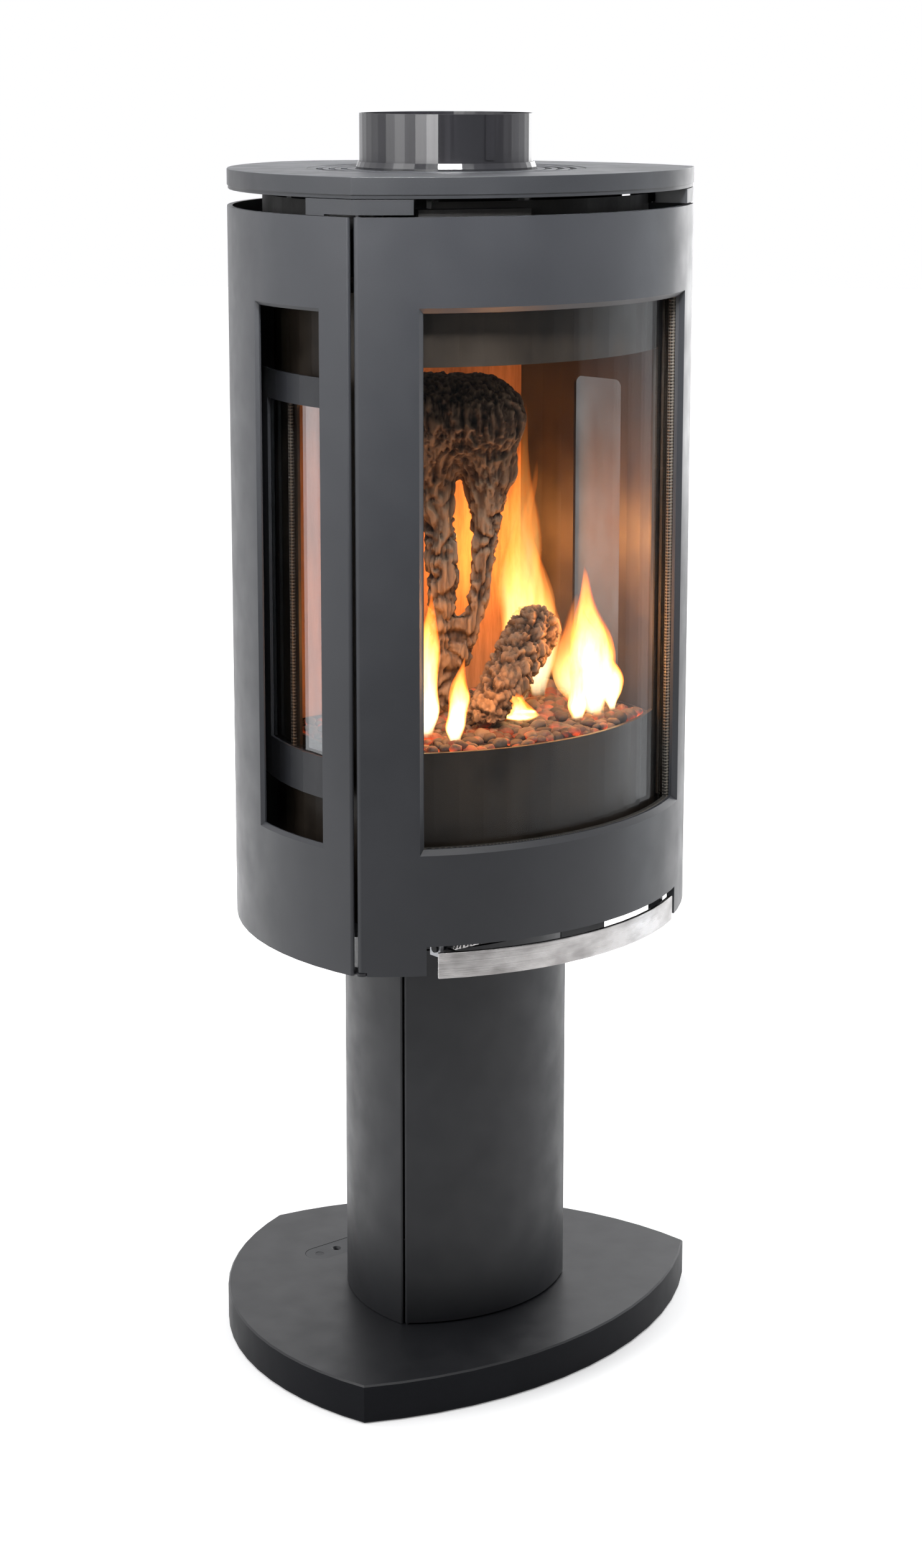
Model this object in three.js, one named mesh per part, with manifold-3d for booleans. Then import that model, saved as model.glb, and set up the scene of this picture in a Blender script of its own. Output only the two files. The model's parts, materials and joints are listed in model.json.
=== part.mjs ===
// Free-standing stove with a log-effect fire: a body with three bowed walls, set on a slim pedestal.
// Millimetres, +Z up. The origin is on the floor, on the axis of the flue. The door faces -Y.
// Every wall is an arc. An angle along a wall is counted from the middle of that wall, in degrees,
// and grows towards the wall's right-hand end as seen from outside.

import * as THREE from 'three';
import { mergeVertices } from 'three/addons/utils/BufferGeometryUtils.js';
import Module from 'manifold-3d';

const wasm = await Module();
wasm.setup();

// ---------------------------------------------------------------- driving dimensions

const ARC_STEP = 5; // degrees between the points of every arc
const GAP = 0.4; // between pieces that touch

const BASE_TOP = 38.6;
const BODY_BOTTOM = 439.5;
const BODY_TOP = 1146.2;
const FLOOR_PLATE = { bottom: 470, top: 476 };
const CEILING = { bottom: 1128, top: 1134, upstand: 1158, ledge: 1152 };
const TOP_PLATE = { bottom: 1162.3, top: 1181.8 };

const BODY = bowedTriangle(428, 88);
const PEDESTAL = bowedTriangle(216, 40);
const BACK_FLAT_HALF = 22.3;
const SIDE_SKIN = 5;
const PEDESTAL_SKIN = 3;

const FRONT = 0;
const LEFT = -120;
const RIGHT = 120;

const WINDOW = { low: 561, high: 1060, half: 32.4, bevel: 5 };
const SIDE_WINDOW = { from: 17.7, to: 36.7 };
const RIGHT_WINDOW_FROM = 12.8; // the right wall's window reaches further back

const DOOR_THICKNESS = 8;
const DOOR_PIVOT = 43.6; // angle of the round door edges
const NOTCH = { top: 467.9, half: 32.1 };
const HINGE_TONGUE = { low: BODY_BOTTOM + 0.2, high: BODY_BOTTOM + 3.2, radius: 5.2 };
const PIN_RADIUS = 2.5;
const PIN_CLEARANCE = 0.3;

const FRAME_DEPTH = 26; // from the door's outer face to the fixed frame behind it
const FRAME_PLATE = 4;
const CHAMBER = { skin: 3, inset: 40, back: 73, floor: 600, top: 1075 };
const CHAMBER_FRONT = { low: 648, high: 1009, half: 33 };
const CHAMBER_SIDE = { from: 18.4, to: 32.5, low: 622, high: 968, corner: 8 };

const HANDLE = { bottom: 436.3, top: 461.3, half: 30, thickness: 4.5, proud: 0.8 };
const HANDLE_ROD = { y: -158, z: 462, radius: 4 };
const HANDLE_ARM_X = 134;
const HANDLE_BRACKET_X = 143;
const LATCH_X = 105;

const PIPE_RADIUS = 84.15;
const PIPE_TOP = 1234;
const INNER_PIPE_RADIUS = 50;
const GRILLE_RADIUS = 134.7;

const COVER_THICKNESS = 5;
const COVER_PIVOT = 39.2;
const COVER_PIN = 1.8;
const COVER_TOP = 429;
const VALVE = { x: 0, y: 5, z: 300, width: 110, depth: 56, height: 64 };

// ---------------------------------------------------------------- materials

function material(color, roughness, metalness, extra = {}) {
  return new THREE.MeshStandardMaterial({ color, roughness, metalness, ...extra });
}

const enamel = () => material(0x45464a, 0.62, 0.35);
const darkEnamel = () => material(0x2b2c2f, 0.7, 0.3);
const glossBlack = () => material(0x1c1c1f, 0.3, 0.4);
const stainless = () => material(0xb9b6b4, 0.32, 1);
const zincSteel = () => material(0x8d8f92, 0.45, 0.9);
const brass = () => material(0xb08d4f, 0.35, 1);
const heatSteel = () => material(0x3a342f, 0.6, 0.6);
const liner = () => material(0xb98a5e, 0.9, 0);
const glass = () => material(0xcfd4d6, 0.05, 0, { transparent: true, opacity: 0.25 });
const rope = () => material(0x9a978f, 0.95, 0);
const bark = () => material(0x6f6254, 0.95, 0);
const ember = () => material(0x7a3a22, 0.95, 0);
const plastic = () => material(0x1a1a1b, 0.5, 0);
const redPlastic = () => material(0xa5231c, 0.4, 0);

// ---------------------------------------------------------------- solids

function toSolid(geometry) {
  const bare = geometry.index ? geometry.toNonIndexed() : geometry.clone();
  bare.deleteAttribute('normal');
  bare.deleteAttribute('uv');
  const merged = mergeVertices(bare, 1e-4);
  return new wasm.Manifold(new wasm.Mesh({
    numProp: 3,
    vertProperties: new Float32Array(merged.attributes.position.array),
    triVerts: new Uint32Array(merged.index.array),
  }));
}

function toGeometry(solid) {
  const mesh = solid.getMesh();
  const geometry = new THREE.BufferGeometry();
  geometry.setAttribute('position', new THREE.BufferAttribute(mesh.vertProperties, 3));
  geometry.setIndex(new THREE.BufferAttribute(mesh.triVerts, 1));
  const flat = geometry.toNonIndexed();
  flat.computeVertexNormals();
  return flat;
}

const join = (...solids) => solids.reduce((whole, piece) => whole.add(piece));
const cut = (solid, ...tools) => tools.reduce((rest, tool) => rest.subtract(tool), solid);

const group = new THREE.Group();

function part(name, solid, look) {
  const mesh = new THREE.Mesh(toGeometry(solid), look());
  mesh.name = name;
  group.add(mesh);
}

// ---------------------------------------------------------------- plan outlines

// Three equal arcs over an equilateral triangle with its centre on the flue axis.
function bowedTriangle(chord, sagitta) {
  const radius = (chord * chord / 4 + sagitta * sagitta) / (2 * sagitta);
  const apothem = chord / (2 * Math.sqrt(3));
  return { radius, offset: radius - sagitta - apothem };
}

const radians = (degrees) => THREE.MathUtils.degToRad(degrees);

function arcPoints(radius, from, to) {
  const angles = [from];
  const first = Math.floor(from / ARC_STEP) + 1;
  for (let k = first; k * ARC_STEP < to - 0.05; k += 1) {
    if (k * ARC_STEP > from + 0.05) angles.push(k * ARC_STEP);
  }
  angles.push(to);
  return angles.map((a) => new THREE.Vector2(radius * Math.sin(radians(a)), -radius * Math.cos(radians(a))));
}

function extrude(points, low, high, options = {}) {
  const settings = { depth: high - low, bevelEnabled: false, steps: 1, ...options };
  return new THREE.ExtrudeGeometry(new THREE.Shape(points), settings).translate(0, 0, low);
}

// Moves a piece made about the arc centre of the front wall onto one of the three walls.
function onWall(geometry, wall, plan = BODY) {
  return toSolid(geometry.translate(0, plan.offset, 0).rotateZ(radians(wall)));
}

// A band of a wall: between two depths from the outer face, two angles and two heights.
function band(wall, depths, angles, heights, plan = BODY) {
  const outer = arcPoints(plan.radius - depths[0], angles[0], angles[1]);
  const inner = arcPoints(plan.radius - depths[1], angles[0], angles[1]);
  return onWall(extrude([...outer, ...inner.reverse()], heights[0], heights[1]), wall, plan);
}

// An upright round bar that ends a band, set on the wall at one angle and depth.
function uprightBar(wall, depth, angle, radius, heights, plan = BODY, sides = 16) {
  const r = plan.radius - depth;
  const bar = new THREE.CylinderGeometry(radius, radius, heights[1] - heights[0], sides).rotateX(Math.PI / 2);
  bar.translate(r * Math.sin(radians(angle)), -r * Math.cos(radians(angle)), (heights[0] + heights[1]) / 2);
  return onWall(bar, wall, plan);
}

// The full round drum whose front is one wall, at a given depth below the wall's outer face.
function drum(wall, depth, heights, plan = BODY) {
  const r = plan.radius - depth;
  const geometry = new THREE.CylinderGeometry(r, r, heights[1] - heights[0], 360 / ARC_STEP);
  geometry.rotateX(Math.PI / 2).translate(0, 0, (heights[0] + heights[1]) / 2);
  return onWall(geometry, wall, plan);
}

function box(x, y, z) {
  const size = [x[1] - x[0], y[1] - y[0], z[1] - z[0]];
  const geometry = new THREE.BoxGeometry(...size);
  return toSolid(geometry.translate((x[0] + x[1]) / 2, (y[0] + y[1]) / 2, (z[0] + z[1]) / 2));
}

function upright(x, y, radius, heights, sides = 24) {
  const geometry = new THREE.CylinderGeometry(radius, radius, heights[1] - heights[0], sides);
  return toSolid(geometry.rotateX(Math.PI / 2).translate(x, y, (heights[0] + heights[1]) / 2));
}

function alongX(x, y, z, radius, sides = 20) {
  const geometry = new THREE.CylinderGeometry(radius, radius, x[1] - x[0], sides).rotateZ(Math.PI / 2);
  return toSolid(geometry.translate((x[0] + x[1]) / 2, y, z));
}

function alongY(x, y, z, radius, sides = 24) {
  const geometry = new THREE.CylinderGeometry(radius, radius, y[1] - y[0], sides);
  return toSolid(geometry.translate(x, (y[0] + y[1]) / 2, z));
}

// The space enclosed by the three walls, at its own depth below the front wall and the side walls.
function bodySpace(frontDepth, sideDepth, backY, heights, plan = BODY) {
  const walls = drum(FRONT, frontDepth, heights, plan)
    .intersect(drum(LEFT, sideDepth, heights, plan))
    .intersect(drum(RIGHT, sideDepth, heights, plan));
  const reach = plan.radius;
  return walls.intersect(box([-reach, reach], [-reach, backY], [heights[0] - 1, heights[1] + 1]));
}

// A wheel-shaped solid on the flue axis, from a closed profile of [radius, height] points.
function turned(profile, segments = 48) {
  const points = [...profile, profile[0]].map(([r, z]) => new THREE.Vector2(r, z));
  return toSolid(new THREE.LatheGeometry(points, segments).rotateX(Math.PI / 2));
}

// The cutter for a window through a wall: straight through, then flared to the outer face.
function windowCutter(wall, angles, heights, bevel, thickness) {
  const flare = THREE.MathUtils.radToDeg(bevel / BODY.radius);
  const through = band(wall, [-1, thickness + 5], angles, heights);
  const beyond = 2;
  const profile = [
    [BODY.radius - bevel, heights[0]],
    [BODY.radius + beyond, heights[0] - bevel - beyond],
    [BODY.radius + beyond, heights[1] + bevel + beyond],
    [BODY.radius - bevel, heights[1]],
  ].map(([r, z]) => new THREE.Vector2(r, z));
  profile.push(profile[0]);
  const ring = onWall(new THREE.LatheGeometry(profile, 360 / ARC_STEP).rotateX(Math.PI / 2), wall);
  const inner = arcPoints(BODY.radius - bevel - 1, angles[0], angles[1]);
  const outer = arcPoints(BODY.radius + beyond + 1, angles[0] - 1.4 * flare, angles[1] + 1.4 * flare);
  const span = [heights[0] - 2 * bevel, heights[1] + 2 * bevel];
  const wedge = onWall(extrude([...outer, ...inner.reverse()], span[0], span[1]), wall);
  return join(through, ring.intersect(wedge));
}

// The cutter for an upright window with rounded corners, through a thin skin at one depth of a wall.
function roundedWindow(wall, depth, angles, heights, corner) {
  const r = BODY.radius - depth;
  const half = r * Math.sin(radians((angles[1] - angles[0]) / 2)) - corner;
  const [low, high] = [heights[0] + corner, heights[1] - corner];
  const quarter = Math.PI / 2;
  const shape = new THREE.Shape();
  shape.absarc(half, high, corner, 0, quarter);
  shape.absarc(-half, high, corner, quarter, 2 * quarter);
  shape.absarc(-half, low, corner, 2 * quarter, 3 * quarter);
  shape.absarc(half, low, corner, 3 * quarter, 4 * quarter);
  const reach = 8;
  const options = { depth: 2 * reach, bevelEnabled: false, curveSegments: 4 };
  const cutter = new THREE.ExtrudeGeometry(shape, options);
  cutter.rotateX(Math.PI / 2).translate(0, reach - r, 0).rotateZ(radians((angles[0] + angles[1]) / 2));
  return onWall(cutter, wall);
}

// A rectangular ring of round section laid on a wall, as a sealing rope is.
function ropeRing(wall, depth, angles, heights, radius) {
  const sides = 6;
  const r = BODY.radius - depth;
  const section = [];
  for (let k = 0; k <= sides; k += 1) {
    const turn = (k / sides) * 2 * Math.PI;
    section.push(new THREE.Vector2(r + radius * Math.cos(turn), radius * Math.sin(turn)));
  }
  const pieces = [];
  for (const z of heights) {
    const torus = new THREE.LatheGeometry(section, 360 / ARC_STEP).rotateX(Math.PI / 2).translate(0, 0, z);
    const reach = [z - radius - 1, z + radius + 1];
    const round = band(wall, [depth - 2 * radius, depth + 2 * radius], angles, reach);
    pieces.push(onWall(torus, wall).intersect(round));
  }
  for (const a of angles) {
    pieces.push(uprightBar(wall, depth, a, radius, heights, BODY, sides));
    for (const z of heights) {
      const ball = new THREE.SphereGeometry(radius, sides, 4);
      ball.translate(r * Math.sin(radians(a)), -r * Math.cos(radians(a)), z);
      pieces.push(onWall(ball, wall));
    }
  }
  return join(...pieces);
}

// A flat rectangular ring lying in a wall, between two depths.
function plateRing(wall, depths, outer, inner) {
  const plate = band(wall, depths, outer.angles, outer.heights);
  return cut(plate, band(wall, [depths[0] - 3, depths[1] + 3], inner.angles, inner.heights));
}

// ---------------------------------------------------------------- base

// The base is a bowed triangle of its own, turned a little against the body above it.
function baseOutline() {
  const corners = [
    { at: new THREE.Vector2(-224.9, -146.6), rise: 77 },
    { at: new THREE.Vector2(259.7, -85.6), rise: 81 },
    { at: new THREE.Vector2(-32.3, 248.6), rise: 89 },
  ];
  const points = [];
  corners.forEach((corner, k) => {
    const next = corners[(k + 1) % corners.length].at;
    points.push(...bow(corner.at, next, corner.rise));
  });
  return points;
}

// Points of the arc from one corner towards the next, bowed outwards, without the last point.
function bow(from, to, rise) {
  const chord = to.clone().sub(from);
  const half = chord.length() / 2;
  const radius = (half * half + rise * rise) / (2 * rise);
  const out = new THREE.Vector2(chord.y, -chord.x).normalize();
  const centre = from.clone().add(to).multiplyScalar(0.5).addScaledVector(out, rise - radius);
  const spread = 2 * Math.asin(half / radius);
  const steps = Math.round(THREE.MathUtils.radToDeg(spread) / ARC_STEP);
  const points = [];
  for (let k = 0; k < steps; k += 1) {
    points.push(from.clone().rotateAround(centre, (spread * k) / steps));
  }
  return points;
}

const INLET = { y: 135, half: 78, radius: 15.5, plate: 3, screws: [40, 63] };

function oblong(half, radius, heights) {
  const straight = half - radius;
  const ends = [-1, 1].map((side) => upright(side * straight, INLET.y, radius, heights));
  const middle = box([-straight, straight], [INLET.y - radius, INLET.y + radius], heights);
  return join(...ends, middle);
}

function base() {
  const chamfer = 1.6;
  const outline = baseOutline();
  const settings = {
    bevelEnabled: true, bevelSize: chamfer, bevelThickness: chamfer, bevelOffset: -chamfer, bevelSegments: 1,
  };
  const block = toSolid(extrude(outline, chamfer, BASE_TOP - chamfer, settings));
  const roof = 28;
  const pocketPlan = outline.map((p) => p.clone().multiplyScalar(0.92));
  const pocket = toSolid(extrude(pocketPlan, -1, roof));
  const hub = upright(0, 0, 85, [-2, roof + 1]);
  const ribs = [30, 150, 270].map((direction) => {
    const rib = new THREE.BoxGeometry(260, 10, roof + 3).translate(130, 0, (roof - 1) / 2);
    return toSolid(rib.rotateZ(radians(-direction)));
  });
  let plate = cut(block, cut(pocket, join(hub, ...ribs)));
  plate = cut(
    plate,
    oblong(INLET.half, INLET.radius, [BASE_TOP - INLET.plate - GAP, BASE_TOP + 1]),
    oblong(INLET.half - 22, INLET.radius - 5, [-2, BASE_TOP]),
    upright(SUPPLY.x, SUPPLY.y, 9, [-2, BASE_TOP + 1]),
    coverPivot(COVER_PIN + PIN_CLEARANCE, [BASE_TOP - 10, BASE_TOP + 1]),
  );
  part('base_plate', plate, enamel);

  const top = BASE_TOP - 0.2;
  let cover = oblong(INLET.half - GAP, INLET.radius - GAP, [BASE_TOP - INLET.plate, top]);
  const places = INLET.screws.flatMap((x) => [-x, x]);
  for (const x of places) cover = cut(cover, countersink(x, 5.2, 3.2, top));
  part('base_inlet_cover', cover, enamel);
  part('base_cover_screw_left', countersink(-INLET.screws[1], 4.8, 2.6, top - 0.3, 0.6), darkEnamel);
  part('base_cover_screw_right', countersink(INLET.screws[1], 4.8, 2.6, top - 0.3, 0.6), darkEnamel);
}

// A countersunk hole or screw head: wide at the top face, narrow below.
function countersink(x, wide, narrow, top, lift = 0) {
  const depth = 2;
  const bottom = BASE_TOP - INLET.plate - 0.2 + lift;
  const lid = top + 0.01;
  const profile = [[0, bottom], [narrow, bottom], [narrow, top - depth], [wide, top], [wide, lid], [0, lid]];
  const points = profile.map(([r, z]) => new THREE.Vector2(r, z));
  return toSolid(new THREE.LatheGeometry(points, 16).rotateX(Math.PI / 2).translate(x, INLET.y, 0));
}

// ---------------------------------------------------------------- pedestal

const PEDESTAL_HEIGHTS = [BASE_TOP + GAP, FLOOR_PLATE.bottom - GAP];
const PEDESTAL_BACK = { half: 19.5, y: 117.5 };
const SUPPLY = { x: 38, y: 30 };
const POST = { x: 60, y: 50, half: 13, wall: 3 };

// The back of the pedestal, folded round from the right-hand panel.
function foldedBack() {
  const { half, y } = PEDESTAL_BACK;
  return box([-half, half + 4], [y - PEDESTAL_SKIN - 1.5, y - 1.5], PEDESTAL_HEIGHTS);
}

function coverPivot(radius, heights) {
  return uprightBar(FRONT, COVER_THICKNESS / 2, -COVER_PIVOT, radius, heights, PEDESTAL, 12);
}

function pedestal() {
  const behind = 38.8;
  const ahead = 39.6;
  const wrap = { left: [-32.4, ahead], right: [-ahead, 32.4] };
  const round = PEDESTAL_SKIN / 2;
  for (const [side, wall] of [['left', LEFT], ['right', RIGHT]]) {
    const frontEnd = side === 'left' ? ahead : -ahead;
    const skin = join(
      band(wall, [0, PEDESTAL_SKIN], wrap[side], PEDESTAL_HEIGHTS, PEDESTAL),
      uprightBar(wall, round, frontEnd, round, PEDESTAL_HEIGHTS, PEDESTAL, 8),
    );
    part(`pedestal_${side}_panel`, side === 'left' ? skin : join(skin, foldedBack()), darkEnamel);

    const sign = side === 'left' ? -1 : 1;
    const outer = POST.half;
    const inner = POST.half - POST.wall;
    const x = sign * POST.x;
    const tube = box([x - outer, x + outer], [POST.y - outer, POST.y + outer], PEDESTAL_HEIGHTS);
    const hollow = box([x - inner, x + inner], [POST.y - inner, POST.y + inner], [0, FLOOR_PLATE.top]);
    part(`pedestal_post_${side}`, cut(tube, hollow), zincSteel);
  }
  const heights = [PEDESTAL_HEIGHTS[0] + 1.5, COVER_TOP];
  const middle = COVER_THICKNESS / 2;
  const headLow = COVER_TOP + 1.5;
  const head = band(FRONT, [0, COVER_THICKNESS], [-40.2, behind], [headLow, PEDESTAL_HEIGHTS[1]], PEDESTAL);
  const hole = coverPivot(COVER_PIN + PIN_CLEARANCE, [headLow - 1, headLow + 13]);
  part('pedestal_head_strip', cut(head, hole), darkEnamel);
  const cover = join(
    band(FRONT, [0, COVER_THICKNESS], [-COVER_PIVOT, behind], heights, PEDESTAL),
    uprightBar(FRONT, middle, -COVER_PIVOT, middle, heights, PEDESTAL),
    uprightBar(FRONT, middle, behind, middle, heights, PEDESTAL),
    coverPivot(COVER_PIN, [BASE_TOP - 7, headLow + 11]),
  );
  part('pedestal_front_cover', cover, darkEnamel);
}

// ---------------------------------------------------------------- gas controls in the pedestal

function tubeAlong(points, radius, bend) {
  const path = new THREE.CurvePath();
  let start = points[0];
  for (let k = 1; k < points.length; k += 1) {
    const end = points[k];
    const next = points[k + 1];
    if (!next) {
      path.add(new THREE.LineCurve3(start, end));
      break;
    }
    const before = end.clone().sub(end.clone().sub(start).setLength(bend));
    const after = end.clone().add(next.clone().sub(end).setLength(bend));
    path.add(new THREE.LineCurve3(start, before));
    path.add(new THREE.QuadraticBezierCurve3(before, end, after));
    start = after;
  }
  const section = new THREE.Shape(new THREE.EllipseCurve(0, 0, radius, radius).getPoints(8).slice(0, -1));
  const settings = { steps: 18, bevelEnabled: false, extrudePath: path };
  return toSolid(new THREE.ExtrudeGeometry(section, settings));
}

const v3 = (x, y, z) => new THREE.Vector3(x, y, z);

function gasControls() {
  const front = VALVE.y - VALVE.depth / 2;
  const back = VALVE.y + VALVE.depth / 2;
  const low = VALVE.z - VALVE.height / 2;
  const high = VALVE.z + VALVE.height / 2;
  const half = VALVE.width / 2;
  const spindle = 5;
  const knobs = [['control_knob', -32], ['flame_knob', 32]];
  let valve = join(
    box([-half, half], [front, back], [low, high]),
    upright(SUPPLY.x, VALVE.y, 9, [low - 14, low + 1], 6),
    upright(-SUPPLY.x, VALVE.y, 9, [high - 1, high + 14], 6),
  );
  for (const [, x] of knobs) {
    valve = join(valve, alongY(x, [front - 12, front + 1], VALVE.z, spindle, 16));
  }
  valve = cut(valve, alongY(0, [front - 1, front + 12], VALVE.z, 6.6, 20));
  part('gas_valve', valve, zincSteel);

  for (const [name, x] of knobs) {
    const knob = cut(
      join(
        alongY(x, [front - 22, front - 4], VALVE.z, 17, 28),
        box([x - 2, x + 2], [front - 25, front - 21], [VALVE.z - 15, VALVE.z + 15]),
      ),
      alongY(x, [front - 13, front - 3], VALVE.z, spindle + PIN_CLEARANCE, 16),
    );
    part(name, knob, plastic);
  }
  part('igniter_button', alongY(0, [front - 9, front + 4], VALVE.z, 6, 20), redPlastic);

  const supply = tubeAlong([
    v3(SUPPLY.x, SUPPLY.y, 4),
    v3(SUPPLY.x, SUPPLY.y, low - 60),
    v3(SUPPLY.x, VALVE.y, low - 35),
    v3(SUPPLY.x, VALVE.y, low - 14.5),
  ], 5, 14);
  part('gas_supply_pipe', supply, brass);
  const burnerPipe = tubeAlong([
    v3(-SUPPLY.x, VALVE.y, high + 14.5),
    v3(-SUPPLY.x, VALVE.y, 520),
    v3(-SUPPLY.x, -30, 560),
    v3(-SUPPLY.x, -30, 607),
  ], 5, 18);
  part('burner_pipe', burnerPipe, brass);
}

// ---------------------------------------------------------------- body shell

function sidePanel(name, wall, frontEnd, windowAngles) {
  const backEnd = 39.9;
  const round = SIDE_SKIN / 2;
  const angles = frontEnd > 0 ? [-backEnd, frontEnd] : [frontEnd, backEnd];
  const skin = join(
    band(wall, [0, SIDE_SKIN], angles, [BODY_BOTTOM, BODY_TOP]),
    uprightBar(wall, round, frontEnd, round, [BODY_BOTTOM, BODY_TOP]),
  );
  const opening = windowCutter(wall, windowAngles, [WINDOW.low, WINDOW.high], WINDOW.bevel - 1.5, SIDE_SKIN);
  part(name, cut(skin, opening), enamel);
}

function bodyShell() {
  const frontEnd = 43.6;
  sidePanel('left_side_panel', LEFT, frontEnd, [SIDE_WINDOW.from, SIDE_WINDOW.to]);
  sidePanel('right_side_panel', RIGHT, -frontEnd, [-SIDE_WINDOW.to, -RIGHT_WINDOW_FROM]);

  const backY = 240.2;
  const rear = box([-BACK_FLAT_HALF, BACK_FLAT_HALF], [backY - SIDE_SKIN, backY], [BODY_BOTTOM, BODY_TOP]);
  part('rear_cover', rear, enamel);

  const rearLimit = backY - SIDE_SKIN - GAP;
  const inside = SIDE_SKIN + GAP;
  const floor = bodySpace(FRAME_DEPTH + 1, inside, rearLimit, [FLOOR_PLATE.bottom, FLOOR_PLATE.top]);
  const under = [FLOOR_PLATE.bottom - 1, FLOOR_PLATE.top + 1];
  part('body_floor_plate', cut(
    floor,
    upright(-SUPPLY.x, VALVE.y, 14, under),
  ), darkEnamel);

  const ceiling = bodySpace(FRAME_DEPTH + FRAME_PLATE + 1, inside, rearLimit, [CEILING.bottom, CEILING.top]);
  const through = [CEILING.bottom - 1, CEILING.top + 1];
  const slots = [LEFT, RIGHT].map((wall) => band(wall, [14, 30], [-28, 20], through));
  const flueHole = upright(0, 0, PIPE_RADIUS + 1.5, through, 72);
  // Upstands close off the view through the outlet slots; a filled ledge runs along the front one.
  const upstands = [FRONT, LEFT, RIGHT].map((wall) => (
    band(wall, [34, 36], [-30, 30], [CEILING.bottom, CEILING.upstand])
  ));
  const ledge = band(FRONT, [16, 35], [-33, -11.5], [CEILING.top - 0.5, CEILING.ledge]);
  part('body_ceiling_plate', join(cut(ceiling, flueHole, ...slots), ledge, ...upstands), darkEnamel);
}

// ---------------------------------------------------------------- top

// Blocks that hold the top plate clear of the body at its three corners.
function cornerSpacers() {
  const heights = [BODY_TOP + GAP, TOP_PLATE.bottom - GAP];
  const reach = 10.5;
  const face = 0.5;
  const corners = [
    ['left', LEFT, FRONT, 210],
    ['right', FRONT, RIGHT, 330],
    ['back', RIGHT, LEFT, 90],
  ];
  for (const [name, before, after, direction] of corners) {
    const end = 44.6;
    let block = join(
      band(before, [face, 32], [end - reach, end + 1.5], heights),
      band(after, [face, 32], [-end - 1.5, -end + reach], heights),
    );
    block = block.intersect(bodySpace(face, face, BODY.radius, heights));
    const legAt = 192;
    const x = legAt * Math.cos(radians(direction));
    const y = legAt * Math.sin(radians(direction));
    block = join(block, upright(x, y, 9, [CEILING.top + GAP, heights[1]]));
    const arm = new THREE.BoxGeometry(44, 14, heights[1] - heights[0]);
    arm.translate(legAt + 20, 0, (heights[0] + heights[1]) / 2).rotateZ(radians(direction));
    block = join(block, toSolid(arm));
    if (name === 'left') {
      block = cut(block, doorPivot(PIN_RADIUS + PIN_CLEARANCE, [BODY_TOP - 1, TOP_PLATE.bottom + 1]));
    }
    if (name !== 'back') {
      const overDoor = band(FRONT, [-2, 40], [-50, 50], [BODY_TOP - 1, BODY_TOP + 2]);
      block = cut(block, overDoor.intersect(drum(FRONT, -2, [0, BODY_TOP + 3])));
    }
    part(`corner_spacer_${name}`, block, enamel);
  }
}

const PLATE_BACK = 240.5;

function topPlate() {
  const plate = bodySpace(0, 0, PLATE_BACK, [TOP_PLATE.bottom, TOP_PLATE.top]);
  const lip = 3.5;
  const setBack = 1;
  const step = cut(
    bodySpace(-1, -1, PLATE_BACK + 9, [TOP_PLATE.bottom - 1, TOP_PLATE.bottom + lip]),
    bodySpace(setBack, setBack, PLATE_BACK - setBack, [TOP_PLATE.bottom - 2, TOP_PLATE.bottom + lip + 1]),
  );
  const seat = GRILLE_RADIUS + 0.6;
  const opening = upright(0, 0, seat, [TOP_PLATE.bottom + 6, TOP_PLATE.top + 1], 72);
  const throat = upright(0, 0, seat - 6, [TOP_PLATE.bottom - 1, TOP_PLATE.top], 72);
  part('top_plate', cut(plate, step, opening, throat), enamel);
}

// Cast insert round the flue: three rings of short curved slots.
function grilleRing() {
  const low = TOP_PLATE.bottom + 6 + GAP;
  const high = TOP_PLATE.top - 0.6;
  const slotRings = [[96, 102.5], [108, 114.5], [120, 126.5]];
  const spokes = 6;
  const facets = 40;
  const hole = PIPE_RADIUS + 4;
  let ring = turned([[hole, low], [GRILLE_RADIUS, low], [GRILLE_RADIUS, high], [hole, high]]);
  const through = [low - 1, high + 1];
  for (const [inner, outer] of slotRings) {
    const core = upright(0, 0, inner, [low - 2, high + 2], facets);
    const slot = cut(upright(0, 0, outer, through, facets), core);
    const bridges = [];
    for (let k = 0; k < spokes; k += 1) {
      const bridge = new THREE.BoxGeometry(40, 5, 40).translate(inner, 0, (low + high) / 2);
      bridges.push(toSolid(bridge.rotateZ((k / spokes) * 2 * Math.PI + 0.2)));
    }
    ring = cut(ring, cut(slot, ...bridges));
  }
  part('grille_ring', ring, enamel);
}

function flue() {
  const wall = 1.5;
  const foot = TOP_PLATE.top + 0.4;
  const outer = [
    [PIPE_RADIUS - wall, CEILING.bottom],
    [PIPE_RADIUS, CEILING.bottom],
    [PIPE_RADIUS, PIPE_TOP],
    [PIPE_RADIUS - wall, PIPE_TOP],
  ];
  const seamTurn = -101;
  const fold = new THREE.BoxGeometry(2, 9, PIPE_TOP - foot - 9);
  fold.translate(PIPE_RADIUS - 0.2, 0, (PIPE_TOP + foot + 9) / 2).rotateZ(radians(seamTurn));
  part('flue_outer_pipe', join(turned(outer), toSolid(fold)), glossBlack);

  const inner = INNER_PIPE_RADIUS;
  part('flue_inner_pipe', turned([
    [inner - wall, CHAMBER.top - 8],
    [inner, CHAMBER.top - 8],
    [inner, PIPE_TOP - 6],
    [inner - wall, PIPE_TOP - 6],
  ]), heatSteel);

  const hug = PIPE_RADIUS + GAP;
  part('flue_collar', turned([
    [hug, foot - 8],
    [hug + 2.8, foot - 8],
    [hug + 2.8, foot + 1],
    [hug + 1, foot + 6],
    [hug, foot + 6],
  ]), glossBlack);
}

// ---------------------------------------------------------------- fire chamber

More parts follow.
